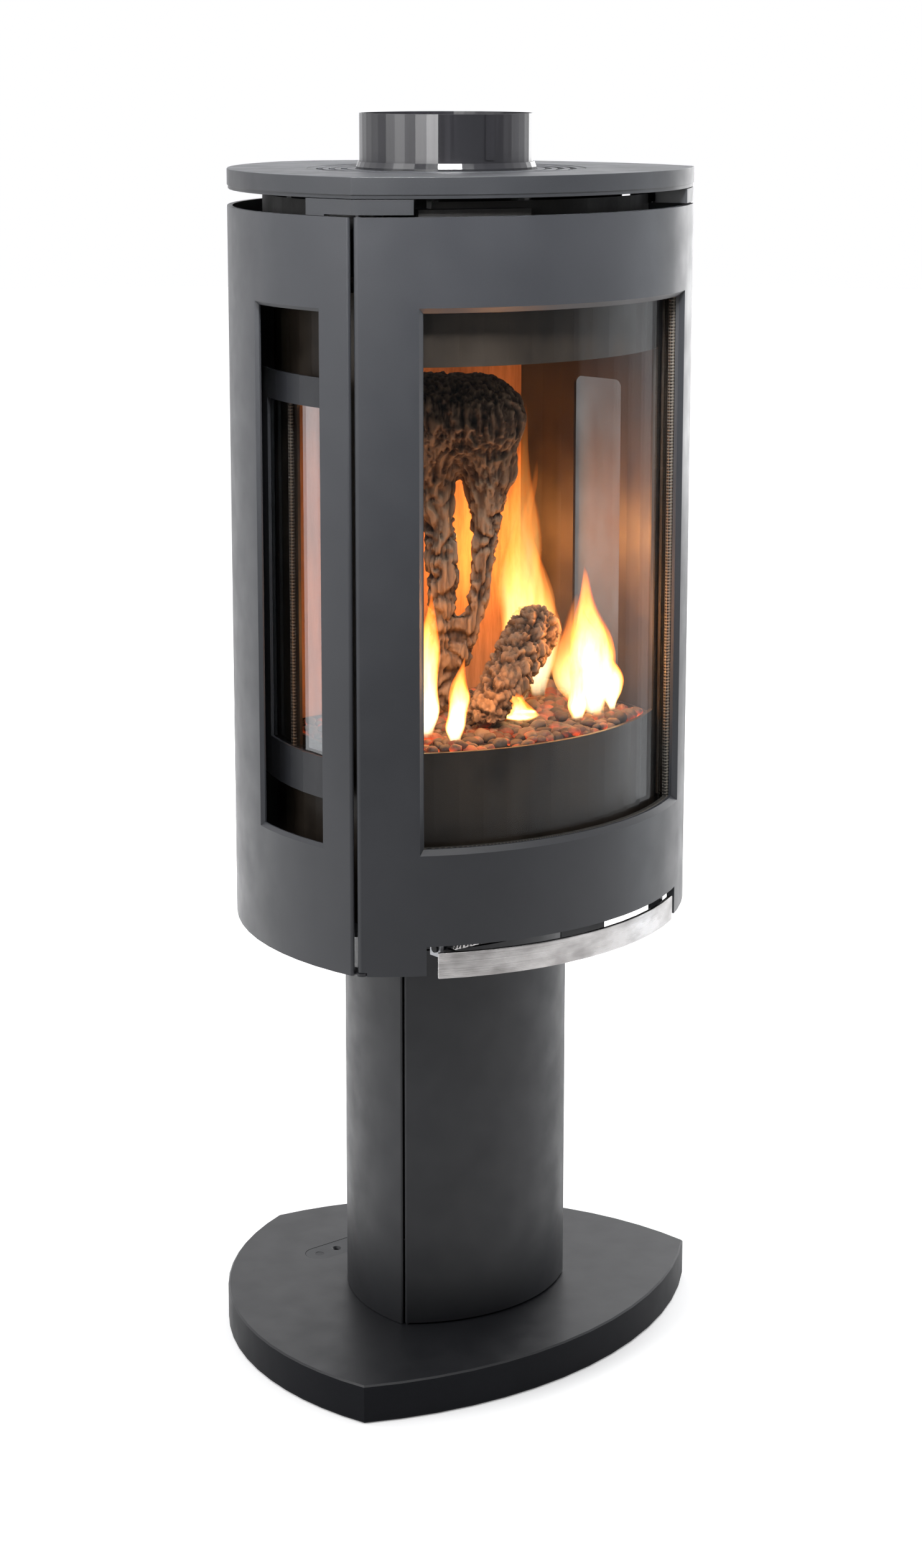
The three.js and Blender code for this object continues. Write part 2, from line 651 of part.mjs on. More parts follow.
function fireChamber() {
  const frameFace = FRAME_DEPTH + FRAME_PLATE + GAP;
  const { skin, inset, back, floor, top } = CHAMBER;
  const standsOn = FLOOR_PLATE.top + GAP;
  let shell = bodySpace(frameFace, inset, back, [standsOn, top]);
  shell = cut(
    shell,
    bodySpace(-5, inset + skin, back - skin, [floor + skin, top - skin]),
    bodySpace(-5, inset + skin, back - skin, [standsOn - 1, floor]),
    upright(0, 0, INNER_PIPE_RADIUS + 0.6, [top - 10, top + 1], 72),
    upright(-SUPPLY.x, -30, 7, [floor - 1, floor + skin + 1]),
  );
  for (const [wall, sign] of [[LEFT, 1], [RIGHT, -1]]) {
    const angles = [CHAMBER_SIDE.from, CHAMBER_SIDE.to].map((a) => sign * a).sort((a, b) => a - b);
    const heights = [CHAMBER_SIDE.low, CHAMBER_SIDE.high];
    shell = cut(shell, roundedWindow(wall, inset + skin / 2, angles, heights, CHAMBER_SIDE.corner));
  }
  part('firebox_shell', shell, heatSteel);

  part('firebox_front_frame', plateRing(
    FRONT,
    [FRAME_DEPTH, FRAME_DEPTH + FRAME_PLATE],
    { angles: [-41.5, 41.5], heights: [FLOOR_PLATE.top + 6, CEILING.top - 1] },
    {
      angles: [-CHAMBER_FRONT.half, CHAMBER_FRONT.half],
      heights: [CHAMBER_FRONT.low, CHAMBER_FRONT.high],
    },
  ), heatSteel);

  const linerHalf = 152;
  const linerBack = back - skin - GAP;
  const linerHeights = [floor + 45, CHAMBER_FRONT.high + 1];
  part('firebox_back_liner', box([-linerHalf, linerHalf], [linerBack - 8, linerBack], linerHeights), liner);
}

// Side glass of the fire chamber with its clamping frame outside and its rope inside.
function sideGlass(side, wall, sign) {
  const turn = (from, to) => [sign * from, sign * to].sort((a, b) => a - b);
  const { from, to, low, high } = CHAMBER_SIDE;
  part(`${side}_glass_frame`, plateRing(
    wall,
    [26, 29],
    { angles: turn(5, 37.5), heights: [596, 996] },
    { angles: turn(9.5, 34), heights: [low + 14, high] },
  ), darkEnamel);
  part(`${side}_glass`, band(wall, [29 + GAP, 33], turn(6.5, 37), [602, 990]), glass);
  const seal = ropeRing(wall, 36.5, turn(from - 1.2, to + 1.2), [low - 6, high + 6], 2.8);
  part(`${side}_glass_rope`, seal, rope);
}

function burner() {
  const { floor, skin } = CHAMBER;
  const seat = floor + skin + GAP;
  const rim = 641;
  const bottom = 4;
  const tray = cut(
    bodySpace(36, 49, 56, [seat, rim]),
    bodySpace(39, 52, 53, [seat + bottom, rim + 1]),
    upright(-SUPPLY.x, -30, 8, [seat - 1, seat + bottom + 1]),
  );
  part('burner_tray', tray, heatSteel);

  const tubeZ = seat + 14;
  const tubeHalf = 110;
  const tubeY = -30;
  part('burner_tube', join(
    alongX([-tubeHalf, tubeHalf], tubeY, tubeZ, 8, 12),
    box([-100, 100], [tubeY - 60, tubeY - 50], [tubeZ - 5, tubeZ + 3]),
    box([80, 90], [tubeY - 51, tubeY + 2], [tubeZ - 4, tubeZ + 2]),
  ), zincSteel);

  const bedHalf = 150;
  const bedSteps = 20;
  const crest = [];
  for (let k = 0; k <= bedSteps; k += 1) {
    const x = -bedHalf + (2 * bedHalf * k) / bedSteps;
    crest.push(new THREE.Vector2(x, 12 + 2.5 * Math.sin(k * 2.4) + 1.5 * Math.cos(k * 4.1)));
  }
  const bedShape = [new THREE.Vector2(-bedHalf, 0), ...crest.slice(1, -1), new THREE.Vector2(bedHalf, 0)];
  const settings = { depth: 230, bevelEnabled: false };
  const bedGeometry = new THREE.ExtrudeGeometry(new THREE.Shape(bedShape), settings);
  bedGeometry.rotateX(Math.PI / 2).translate(0, 50, rim - 10);
  const limits = bodySpace(42, 55, 50, [seat + 26, rim + 20]);
  part('ember_bed', toSolid(bedGeometry).intersect(limits), ember);

  const pilotX = -118;
  part('pilot_assembly', join(
    box([pilotX - 10, pilotX + 10], [-66, -62], [rim + 6, rim + 34]),
    upright(pilotX - 4, -58, 4, [rim + 8, rim + 40], 12),
    upright(pilotX + 5, -59, 2.2, [rim + 12, rim + 52], 10),
    box([pilotX - 9, pilotX + 9], [-64, -55], [rim + 8, rim + 12]),
  ), zincSteel);
}

// One limb of a moulded log: a tapering bar through two or more points.
function limb(stations) {
  const facets = 10;
  const pieces = stations.map(({ at, r }) => {
    const knuckle = new THREE.SphereGeometry(r, facets, 6);
    return toSolid(knuckle.translate(...at));
  });
  for (let k = 1; k < stations.length; k += 1) {
    const from = v3(...stations[k - 1].at);
    const to = v3(...stations[k].at);
    const run = to.clone().sub(from);
    const trunk = new THREE.CylinderGeometry(stations[k].r, stations[k - 1].r, run.length(), facets);
    trunk.applyQuaternion(new THREE.Quaternion().setFromUnitVectors(v3(0, 1, 0), run.clone().normalize()));
    trunk.translate(...from.clone().add(to).multiplyScalar(0.5).toArray());
    pieces.push(toSolid(trunk));
  }
  return join(...pieces);
}

const LOG_PLANE = { x: -10, y: -50, turn: radians(-35) }; // the forked log stands upright in this plane

// A limb of the forked log from [distance along the plane, height, radius] stations.
function uprightLimb(stations) {
  return limb(stations.map(([along, z, r]) => ({
    at: [LOG_PLANE.x + along * Math.cos(LOG_PLANE.turn), LOG_PLANE.y + along * Math.sin(LOG_PLANE.turn), z],
    r,
  })));
}

function logs() {
  const crown = uprightLimb([[-70, 960, 34], [-36, 946, 46], [8, 942, 48]]);
  const rightLeg = uprightLimb([
    [8, 942, 48], [17, 893, 30], [14, 855, 19], [11, 800, 13], [7, 767, 13], [-8, 711, 12], [-25, 662, 10],
  ]);
  const leftLeg = uprightLimb([
    [-38, 946, 44], [-42, 895, 30], [-33, 850, 19], [-28, 785, 18], [-31, 711, 14], [-38, 660, 12],
  ]);
  const onTheBed = box([-400, 400], [-400, 400], [656, 1300]);
  part('forked_log', join(crown, leftLeg, rightLeg).intersect(onTheBed), bark);
  const shortLog = limb([
    { at: [62, -62, 728], r: 29 },
    { at: [10, -84, 692], r: 27 },
    { at: [-38, -104, 662], r: 21 },
  ]);
  part('short_log', shortLog.intersect(onTheBed), bark);
}

// ---------------------------------------------------------------- door

function doorPivot(radius, heights) {
  return uprightBar(FRONT, DOOR_THICKNESS / 2, -DOOR_PIVOT, radius, heights);
}

function door() {
  const heights = [BODY_BOTTOM, BODY_TOP];
  const middle = DOOR_THICKNESS / 2;
  const skin = join(
    band(FRONT, [0, DOOR_THICKNESS], [-DOOR_PIVOT, DOOR_PIVOT], heights),
    doorPivot(middle, heights),
    uprightBar(FRONT, middle, DOOR_PIVOT, middle, heights),
  );
  const pinHole = PIN_RADIUS + PIN_CLEARANCE;
  const bore = 22;
  part('door_panel', cut(
    skin,
    windowCutter(FRONT, [-WINDOW.half, WINDOW.half], [WINDOW.low, WINDOW.high], WINDOW.bevel, DOOR_THICKNESS),
    band(FRONT, [-2, DOOR_THICKNESS + 2], [-NOTCH.half, NOTCH.half], [BODY_BOTTOM - 1, NOTCH.top]),
    doorPivot(HINGE_TONGUE.radius + 1.2, [BODY_BOTTOM - 1, HINGE_TONGUE.high + GAP]),
    doorPivot(pinHole, [BODY_BOTTOM - 1, BODY_BOTTOM + bore]),
    doorPivot(pinHole, [BODY_TOP - bore, BODY_TOP + 1]),
  ), enamel);
  const lowerPin = [HINGE_TONGUE.low + 0.5, BODY_BOTTOM + bore - 1];
  part('hinge_pin_lower', doorPivot(PIN_RADIUS, lowerPin), darkEnamel);
  part('hinge_pin_upper', doorPivot(PIN_RADIUS, [BODY_TOP - bore + 1, TOP_PLATE.bottom - 2]), darkEnamel);

  const back = DOOR_THICKNESS + GAP;
  const plate = 4;
  part('door_inner_frame', plateRing(
    FRONT,
    [back, back + plate],
    { angles: [-40.8, 40.8], heights: [476, 1138] },
    { angles: [-34.4, 34.4], heights: [WINDOW.low - 10, WINDOW.high + 10] },
  ), heatSteel);

  const ropeRadius = 3.4;
  const ropeDepth = back + ropeRadius + 0.2;
  part('window_rope', ropeRing(
    FRONT,
    ropeDepth,
    [-WINDOW.half - 0.5, WINDOW.half + 0.5],
    [WINDOW.low - 3, WINDOW.high + 3],
    ropeRadius,
  ), rope);

  const glassFront = ropeDepth + ropeRadius + GAP;
  const glassBack = glassFront + 4;
  const paneHeights = [WINDOW.low - 12, WINDOW.high + 12];
  part('door_glass', band(FRONT, [glassFront, glassBack], [-35, 35], paneHeights), glass);

  const clampBack = glassBack + GAP + 2.5;
  for (const [side, sign] of [['left', -1], ['right', 1]]) {
    const turn = (from, to) => [sign * from, sign * to].sort((a, b) => a - b);
    const span = [WINDOW.low, WINDOW.high];
    part(`glass_clamp_${side}`, join(
      band(FRONT, [glassBack + GAP, clampBack], turn(33.6, 38), span),
      band(FRONT, [back + plate + GAP, clampBack], turn(35.3, 38), span),
    ), heatSteel);
  }

  const sealRadius = 5.8;
  const sealDepth = back + plate + GAP + sealRadius;
  part('door_rope', ropeRing(FRONT, sealDepth, [-39.6, 39.6], [496, 1108], sealRadius), rope);
}

// Bracket at the foot of the door's left end: a tongue let into the door and a leg inside the side wall.
function lowerHingeBracket() {
  const face = SIDE_SKIN + GAP;
  const tongue = join(
    doorPivot(HINGE_TONGUE.radius, [HINGE_TONGUE.low, HINGE_TONGUE.high]),
    band(LEFT, [face, 16], [38.5, 44.6], [HINGE_TONGUE.low, HINGE_TONGUE.high]),
  );
  const leg = band(LEFT, [face, face + 3], [36.5, 41], [HINGE_TONGUE.low, FLOOR_PLATE.bottom - GAP]);
  const hole = doorPivot(PIN_RADIUS + PIN_CLEARANCE, [HINGE_TONGUE.low - 1, HINGE_TONGUE.high + 1]);
  const bracket = join(tongue, leg, band(LEFT, [face, 9], [36.5, 42], [HINGE_TONGUE.low, HINGE_TONGUE.high]));
  part('lower_hinge_bracket', cut(bracket, hole), darkEnamel);
}

// ---------------------------------------------------------------- handle and latch

function handle() {
  const { bottom, top, half, thickness, proud } = HANDLE;
  part('handle_strip', band(FRONT, [-proud, thickness - proud], [-half, half], [bottom, top]), stainless);

  const { y, z, radius } = HANDLE_ROD;
  const inner = BODY.radius + proud - thickness - GAP;
  const stripY = BODY.offset - Math.sqrt(inner * inner - (HANDLE_ARM_X + 2) ** 2);
  const rodHalf = HANDLE_BRACKET_X + 4;
  let linkage = alongX([-rodHalf, rodHalf], y, z, radius);
  for (const side of [-1, 1]) {
    const x = side * HANDLE_ARM_X;
    linkage = join(
      linkage,
      alongX([x - 2, x + 2], y, z, 6.5),
      box([x - 2, x + 2], [stripY + 1, y], [z - 14, z - 1]),
    );
  }
  const nose = { y: -122, top: 456.5 };
  linkage = join(
    linkage,
    alongX([LATCH_X - 3, LATCH_X + 3], y, z, 6.5),
    box([LATCH_X - 3, LATCH_X + 3], [y, nose.y], [450, 453.5]),
    box([LATCH_X - 3, LATCH_X + 3], [y - 2.5, y + 2.5], [450, z]),
    box([LATCH_X - 3, LATCH_X + 3], [nose.y - 5, nose.y], [450, nose.top]),
    box([12, 69], [y - 3.5, y - 1.5], [435.6, z]),
  );
  part('handle_linkage', linkage, darkEnamel);

  // The keeper hangs from the floor plate, behind the nose of the latch hook.
  const keeper = { x: [LATCH_X - 8, LATCH_X + 8], y: [-129.5, -126.5], top: FLOOR_PLATE.bottom - GAP };
  part('latch_keeper', join(
    box(keeper.x, keeper.y, [nose.top + 0.6, keeper.top]),
    box(keeper.x, [keeper.y[0], -108], [keeper.top - 3, keeper.top]),
  ), darkEnamel);

  for (const [side, sign] of [['left', -1], ['right', 1]]) {
    const x = sign * HANDLE_BRACKET_X;
    const rodHole = alongX([x - 5, x + 5], y, z, radius + PIN_CLEARANCE);
    part(`handle_bracket_${side}`, cut(join(
      box([x - 2, x + 2], [y - 7, y + 8], [z - 8, z + 12]),
      box([x - 2, x + 2], [y + 1, y + 8], [z + 8, z + 26]),
    ), rodHole), zincSteel);
  }
  part('handle_spring', coilSpring(-HANDLE_ARM_X + 4, -HANDLE_ARM_X + 44, y, z, radius + 2, 0.9), stainless);
}

class Helix extends THREE.Curve {
  constructor(from, to, y, z, radius, turns) {
    super();
    Object.assign(this, { from, to, y, z, radius, turns });
  }

  getPoint(t, target = new THREE.Vector3()) {
    const turn = 2 * Math.PI * this.turns * t;
    return target.set(
      THREE.MathUtils.lerp(this.from, this.to, t),
      this.y + this.radius * Math.cos(turn),
      this.z + this.radius * Math.sin(turn),
    );
  }
}

function coilSpring(from, to, y, z, radius, wire) {
  const turns = 9;
  const path = new Helix(from, to, y, z, radius, turns);
  const section = new THREE.Shape(new THREE.EllipseCurve(0, 0, wire, wire).getPoints(5).slice(0, -1));
  const settings = { steps: turns * 8, bevelEnabled: false, extrudePath: path };
  return toSolid(new THREE.ExtrudeGeometry(section, settings));
}

// ---------------------------------------------------------------- assembly

base();
pedestal();
gasControls();
bodyShell();
cornerSpacers();
topPlate();
grilleRing();
flue();
fireChamber();
sideGlass('left', LEFT, 1);
sideGlass('right', RIGHT, -1);
burner();
logs();
door();
lowerHingeBracket();
handle();

export default group;
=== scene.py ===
import json
import math
import random

import bmesh
import bpy
from mathutils import Matrix, Vector, noise


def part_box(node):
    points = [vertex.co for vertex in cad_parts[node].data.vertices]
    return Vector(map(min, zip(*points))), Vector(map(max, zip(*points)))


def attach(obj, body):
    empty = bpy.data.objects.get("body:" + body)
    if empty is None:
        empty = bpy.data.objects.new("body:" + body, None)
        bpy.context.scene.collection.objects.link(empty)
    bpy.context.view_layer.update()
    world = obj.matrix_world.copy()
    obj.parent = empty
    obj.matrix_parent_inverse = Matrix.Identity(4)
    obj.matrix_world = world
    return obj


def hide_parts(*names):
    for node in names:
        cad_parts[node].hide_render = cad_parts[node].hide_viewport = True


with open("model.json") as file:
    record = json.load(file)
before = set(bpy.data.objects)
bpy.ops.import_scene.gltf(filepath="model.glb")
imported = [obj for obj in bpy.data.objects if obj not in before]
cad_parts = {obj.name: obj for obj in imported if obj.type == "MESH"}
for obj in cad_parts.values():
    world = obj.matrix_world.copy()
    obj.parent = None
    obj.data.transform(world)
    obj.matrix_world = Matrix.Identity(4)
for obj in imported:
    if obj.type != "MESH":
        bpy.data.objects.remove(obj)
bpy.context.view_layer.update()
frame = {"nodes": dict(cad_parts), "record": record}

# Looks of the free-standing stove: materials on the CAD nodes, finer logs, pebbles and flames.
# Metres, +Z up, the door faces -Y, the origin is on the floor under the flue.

# ---------------------------------------------------------------- camera and studio

SENSOR = 36.0  # mm along the picture's long side
CAMERA_PLACE = Vector((-1.8510, -2.2184, 1.2879))
CAMERA_YAW = math.radians(-39.8417)
CAMERA_PITCH = math.radians(11.2132)
FOCAL_LENGTH = 67.77  # mm
CAMERA_SHIFT = (0.0094, -0.0913)

AWAY = Vector((math.sin(-CAMERA_YAW), math.cos(CAMERA_YAW), 0.0))  # from the camera to the stove
FLOOR_RADIUS = 14.0

# ---------------------------------------------------------------- colours, linear

ENAMEL_DARK, ENAMEL_LIGHT = (0.020, 0.0212, 0.0245), (0.029, 0.0305, 0.035)
CAST_DARK, CAST_LIGHT = (0.015, 0.016, 0.0185), (0.024, 0.0255, 0.029)
# Base plate colours: a darker copy of the cast enamel's colours, painted shade.
BASE_SHADED_DARK, BASE_SHADED_LIGHT = (0.007, 0.0075, 0.009), (0.012, 0.0125, 0.015)
CHAMBER_DARK, CHAMBER_LIGHT = (0.0085, 0.0065, 0.005), (0.026, 0.0195, 0.014)
LINER_DARK, LINER_LIGHT = (0.13, 0.060, 0.028), (0.34, 0.17, 0.085)
BARK_CRACK, BARK_BROWN, BARK_GREY = (0.006, 0.004, 0.003), (0.050, 0.030, 0.018), (0.130, 0.088, 0.056)
STONE_DARK, STONE_LIGHT = (0.022, 0.015, 0.011), (0.095, 0.068, 0.050)
FIRE_LIGHT = (1.0, 0.40, 0.11)


class Look:
    """A Principled material with its plain values set, and short calls that wire nodes into it."""

    def __init__(self, name, **plain):
        self.material = bpy.data.materials.new(name)
        self.material.use_nodes = True
        self.tree = self.material.node_tree
        self.shader = next(n for n in self.tree.nodes if n.type == "BSDF_PRINCIPLED")
        for socket, value in plain.items():
            self.shader.inputs[socket.replace("_", " ").title().replace("Ior", "IOR")].default_value = value

    def add(self, kind, inputs, **settings):
        node = self.tree.nodes.new(kind)
        for name, value in settings.items():
            setattr(node, name, value)
        for socket, value in inputs.items():
            if isinstance(value, bpy.types.NodeSocket):
                self.tree.links.new(value, node.inputs[socket])
            else:
                node.inputs[socket].default_value = value
        return node

    def plug(self, socket, value):
        self.tree.links.new(value, self.shader.inputs[socket])

    def place(self, stretch=(1.0, 1.0, 1.0)):
        coordinates = self.add("ShaderNodeTexCoord", {}).outputs["Object"]
        return self.add("ShaderNodeMapping", {"Vector": coordinates, "Scale": stretch}).outputs["Vector"]

    def noise(self, scale, detail=3.0, stretch=(1.0, 1.0, 1.0), rough=0.5):
        inputs = {"Vector": self.place(stretch), "Scale": scale, "Detail": detail, "Roughness": rough}
        return self.add("ShaderNodeTexNoise", inputs).outputs["Fac"]

    def maths(self, operation, a, b=0.0, c=0.0):
        return self.add("ShaderNodeMath", {0: a, 1: b, 2: c}, operation=operation).outputs[0]

    def span(self, value, low, high, to_low=0.0, to_high=1.0):
        inputs = {"Value": value, "From Min": low, "From Max": high, "To Min": to_low, "To Max": to_high}
        return self.add("ShaderNodeMapRange", inputs).outputs["Result"]

    def ramp(self, value, *stops):
        node = self.add("ShaderNodeValToRGB", {"Fac": value})
        elements = node.color_ramp.elements
        while len(elements) < len(stops):
            elements.new(0.5)
        for element, (position, colour) in zip(elements, stops):
            element.position = position
            element.color = (*colour, 1.0)
        return node.outputs["Color"]

    def mix(self, share, a, b, blend="MIX"):
        node = self.add("ShaderNodeMix", {0: share, 6: a, 7: b}, data_type="RGBA", blend_type=blend)
        return node.outputs[2]

    def attribute(self, name):
        return self.add("ShaderNodeAttribute", {}, attribute_name=name).outputs["Fac"]

    def bump(self, height, depth, strength=1.0):
        inputs = {"Height": height, "Distance": depth, "Strength": strength}
        self.plug("Normal", self.add("ShaderNodeBump", inputs).outputs["Normal"])


# ---------------------------------------------------------------- materials

def enamel(name, dark, light, smooth, rough, grain_size=0.0007, grain_depth=0.00005, shade_upright_faces=False):
    """Stove enamel: a fine sprayed grain over a faint cloudiness, with less shine on upright faces if asked, which is
    painted shade on those faces.
    """
    look = Look(name, specular_ior_level=0.42)
    if shade_upright_faces:
        # Painted shade: upright faces get far less shine than the top.
        facing = look.add("ShaderNodeTexCoord", {}).outputs["Normal"]
        upward = look.add("ShaderNodeSeparateXYZ", {"Vector": facing}).outputs["Z"]
        look.plug("Specular IOR Level", look.span(upward, 0.3, 0.8, 0.04, 0.55))
    grain = look.noise(1 / grain_size, 2.0)
    cloud = look.noise(7.0, 4.0)
    both = look.maths("MULTIPLY_ADD", grain, 0.35, look.maths("MULTIPLY", cloud, 0.65))
    look.plug("Base Color", look.ramp(both, (0.3, dark), (0.7, light)))
    look.plug("Roughness", look.span(look.noise(30.0, 3.0), 0.3, 0.7, smooth, rough))
    look.bump(grain, grain_depth, 0.6)
    return look.material


def gloss_black():
    """Drawn and lacquered pipe: long faint streaks along its length."""
    look = Look("flue_lacquer", specular_ior_level=0.6)
    streaks = look.noise(120.0, 4.0, (1.0, 1.0, 0.02), 0.7)
    look.plug("Base Color", look.ramp(streaks, (0.3, (0.006, 0.006, 0.007)), (0.75, (0.011, 0.011, 0.013))))
    look.plug("Roughness", look.span(streaks, 0.3, 0.7, 0.17, 0.23))
    look.bump(streaks, 0.00006, 0.35)
    return look.material


def brushed_steel():
    """Stainless strip brushed along its length, with soft cloudy patches that are rougher and lighter in colour; the
    lighter colour is a painted highlight.
    """
    look = Look("brushed_stainless", metallic=1.0)
    lines = look.noise(260.0, 3.0, (0.03, 0.03, 6.0), 0.6)
    patches_and_highlights = look.noise(24.0, 3.0, (0.7, 0.7, 1.6), 0.6)
    # Painted highlights: the patches lighten the metal's colour.
    look.plug("Base Color", look.ramp(patches_and_highlights, (0.34, (0.26, 0.25, 0.245)), (0.66, (0.60, 0.585, 0.58))))
    rough = look.maths("MULTIPLY_ADD", lines, 0.22, look.maths("MULTIPLY", patches_and_highlights, 0.28))
    look.plug("Roughness", rough)
    look.bump(lines, 0.00012, 0.5)
    return look.material


def plain_metal(name, dark, light, smooth, rough, scale):
    look = Look(name, metallic=1.0)
    spangle = look.noise(scale, 3.0, rough=0.65)
    look.plug("Base Color", look.ramp(spangle, (0.3, dark), (0.7, light)))
    look.plug("Roughness", look.span(spangle, 0.3, 0.7, smooth, rough))
    look.bump(look.noise(scale * 6, 2.0), 0.00004, 0.5)
    return look.material


def chamber_steel():
    """Heat-stained sheet: sooty and olive brown, with soft blotches and thin upright runs."""
    look = Look("heat_stained_steel", specular_ior_level=0.22)
    blotches = look.noise(16.0, 6.0, rough=0.62)
    runs = look.noise(40.0, 3.0, (1.0, 1.0, 0.12))
    both = look.maths("MULTIPLY_ADD", blotches, 0.7, look.maths("MULTIPLY", runs, 0.3))
    look.plug("Base Color", look.ramp(both, (0.34, CHAMBER_DARK), (0.66, CHAMBER_LIGHT)))
    look.plug("Roughness", look.span(blotches, 0.35, 0.65, 0.38, 0.62))
    look.bump(blotches, 0.0004, 0.2)
    return look.material


def fibre_board():
    """Pressed fibre lining: warm, with short upright brush strokes."""
    look = Look("fibre_board", specular_ior_level=0.15, roughness=0.92)
    strokes = look.noise(150.0, 5.0, (1.0, 1.0, 0.10), 0.7)
    clouds = look.noise(11.0, 5.0, (1.0, 1.0, 0.6))
    both = look.maths("MULTIPLY_ADD", strokes, 0.5, look.maths("MULTIPLY", clouds, 0.5))
    look.plug("Base Color", look.ramp(both, (0.34, LINER_DARK), (0.66, LINER_LIGHT)))
    look.bump(strokes, 0.0012, 0.7)
    return look.material


def window_glass(name, sheen):
    """Clear pane: only its sheen shows, and more of it at a low angle."""
    look = Look(name, base_color=(0.93, 0.97, 1.0, 1.0), metallic=1.0)
    facing = look.add("ShaderNodeLayerWeight", {"Blend": 0.5}).outputs["Facing"]
    low_angle = look.maths("POWER", facing, 4.2)
    look.plug("Alpha", look.maths("MULTIPLY_ADD", low_angle, 0.30, sheen))
    look.plug("Roughness", look.span(look.noise(25.0, 2.0), 0.3, 0.7, 0.03, 0.06))
    return look.material


def shade_film_glass():
    """Side pane with a thin uneven dark film of painted shade, so the room behind it looks dim."""
    look = Look("painted_shade_side_glass", base_color=(0.035, 0.034, 0.034, 1.0), roughness=0.1)
    shade_film = look.noise(9.0, 5.0, (1.0, 1.0, 0.45), 0.6)
    look.plug("Alpha", look.span(shade_film, 0.35, 0.65, 0.62, 0.84))
    return look.material


def rope_braid():
    """Glass-fibre rope: light and dark yarns crossing on a slant."""
    look = Look("rope_braid", specular_ior_level=0.25, roughness=0.85)
    split = look.add("ShaderNodeSeparateXYZ", {"Vector": look.place()})
    across = look.maths("ADD", split.outputs["X"], split.outputs["Y"])
    pitch = 2 * math.pi / 0.0062
    lean_up = look.maths("MULTIPLY_ADD", across, pitch * 1.3, look.maths("MULTIPLY", split.outputs["Z"], pitch))
    lean_down = look.maths("MULTIPLY_ADD", across, -pitch * 1.3, look.maths("MULTIPLY", split.outputs["Z"], pitch))
    weave = look.maths("MULTIPLY", look.maths("SINE", lean_up), look.maths("SINE", lean_down))
    fuzz = look.noise(900.0, 3.0)
    height = look.maths("MULTIPLY_ADD", fuzz, 0.4, weave)
    dark, pale = (0.006, 0.0055, 0.005), (0.11, 0.10, 0.085)
    look.plug("Base Color", look.ramp(look.span(height, -0.7, 1.0), (0.30, dark), (0.72, pale)))
    look.bump(height, 0.0008, 0.8)
    return look.material


def bark():
    """Cast ceramic bark: dark cracks, brown fibre, pale ridges."""
    look = Look("log_bark", specular_ior_level=0.22)
    ridge = look.attribute("ridge")
    fibre = look.noise(420.0, 5.0, (1.0, 1.0, 0.05), 0.7)
    lichen = look.noise(34.0, 5.0, rough=0.7)
    height = look.maths("MULTIPLY_ADD", fibre, 0.35, look.maths("MULTIPLY", ridge, 0.65))
    wood = look.ramp(height, (0.22, BARK_CRACK), (0.50, BARK_BROWN), (0.80, BARK_GREY))
    pale = look.span(lichen, 0.52, 0.66, 0.0, 0.5)
    look.plug("Base Color", look.mix(pale, wood, (*BARK_GREY, 1.0)))
    look.plug("Roughness", look.span(ridge, 0.0, 1.0, 0.95, 0.68))
    look.bump(height, 0.0035, 0.8)
    return look.material


def stone():
    """Pebbles in the embers: grey brown on top, glowing where the gas burns between them."""
    look = Look("ember_stone", specular_ior_level=0.3, emission_strength=1.6)
    speckle = look.noise(420.0, 4.0, rough=0.65)
    tone = look.maths("MULTIPLY_ADD", look.attribute("tone"), 0.6, look.maths("MULTIPLY", speckle, 0.4))
    look.plug("Base Color", look.ramp(tone, (0.15, STONE_DARK), (0.85, STONE_LIGHT)))
    look.plug("Roughness", look.span(speckle, 0.3, 0.7, 0.55, 0.85))
    glow = look.maths("MULTIPLY", look.attribute("glow"), look.span(look.noise(55.0, 4.0), 0.46, 0.64))
    look.plug("Emission Color", look.ramp(glow, (0.0, (0.0, 0.0, 0.0)), (0.5, (0.65, 0.06, 0.01)), (1.0, (1.0, 0.30, 0.05))))
    look.bump(speckle, 0.0006, 0.7)
    return look.material


def flame_gas(name, brightness, body):
    """Burning gas: white and yellow in its heart, orange at its edge, clear towards its tip."""
    look = Look(name, base_color=(0.0, 0.0, 0.0, 1.0), roughness=1.0, specular_ior_level=0.0)
    look.shader.inputs["Emission Strength"].default_value = brightness
    rise = look.attribute("rise")
    facing = look.add("ShaderNodeLayerWeight", {"Blend": 0.5}).outputs["Facing"]
    heart = look.maths("SUBTRACT", 1.0, facing)
    wisps = look.noise(70.0, 4.0, (1.0, 1.0, 0.22), 0.6)
    cool = look.maths("MULTIPLY_ADD", rise, 0.75, look.maths("MULTIPLY", facing, 0.55))
    cool = look.maths("ADD", cool, look.span(wisps, 0.3, 0.7, -0.16, 0.16))
    look.plug("Emission Color", look.ramp(
        cool, (0.10, (1.0, 0.80, 0.48)), (0.38, (1.0, 0.52, 0.14)), (0.68, (0.95, 0.22, 0.025)), (1.0, (0.5, 0.06, 0.005))))
    fade = look.maths("MULTIPLY", look.maths("POWER", heart, 1.7), look.span(rise, 1.0, 0.35))
    root = look.span(rise, 0.0, 0.16, 0.0, 1.0)
    veil = look.maths("MULTIPLY", look.maths("MULTIPLY", fade, root), look.span(wisps, 0.30, 0.62, 0.35, 1.0))
    look.plug("Alpha", look.maths("MULTIPLY", veil, body))
    return look.material


def moulded_plastic(name, colour, lighter):
    look = Look(name, specular_ior_level=0.5)
    grain = look.noise(1500.0, 2.0)
    look.plug("Base Color", look.ramp(grain, (0.3, colour), (0.7, lighter)))
    look.plug("Roughness", look.span(grain, 0.3, 0.7, 0.32, 0.5))
    look.bump(grain, 0.00005, 0.5)
    return look.material


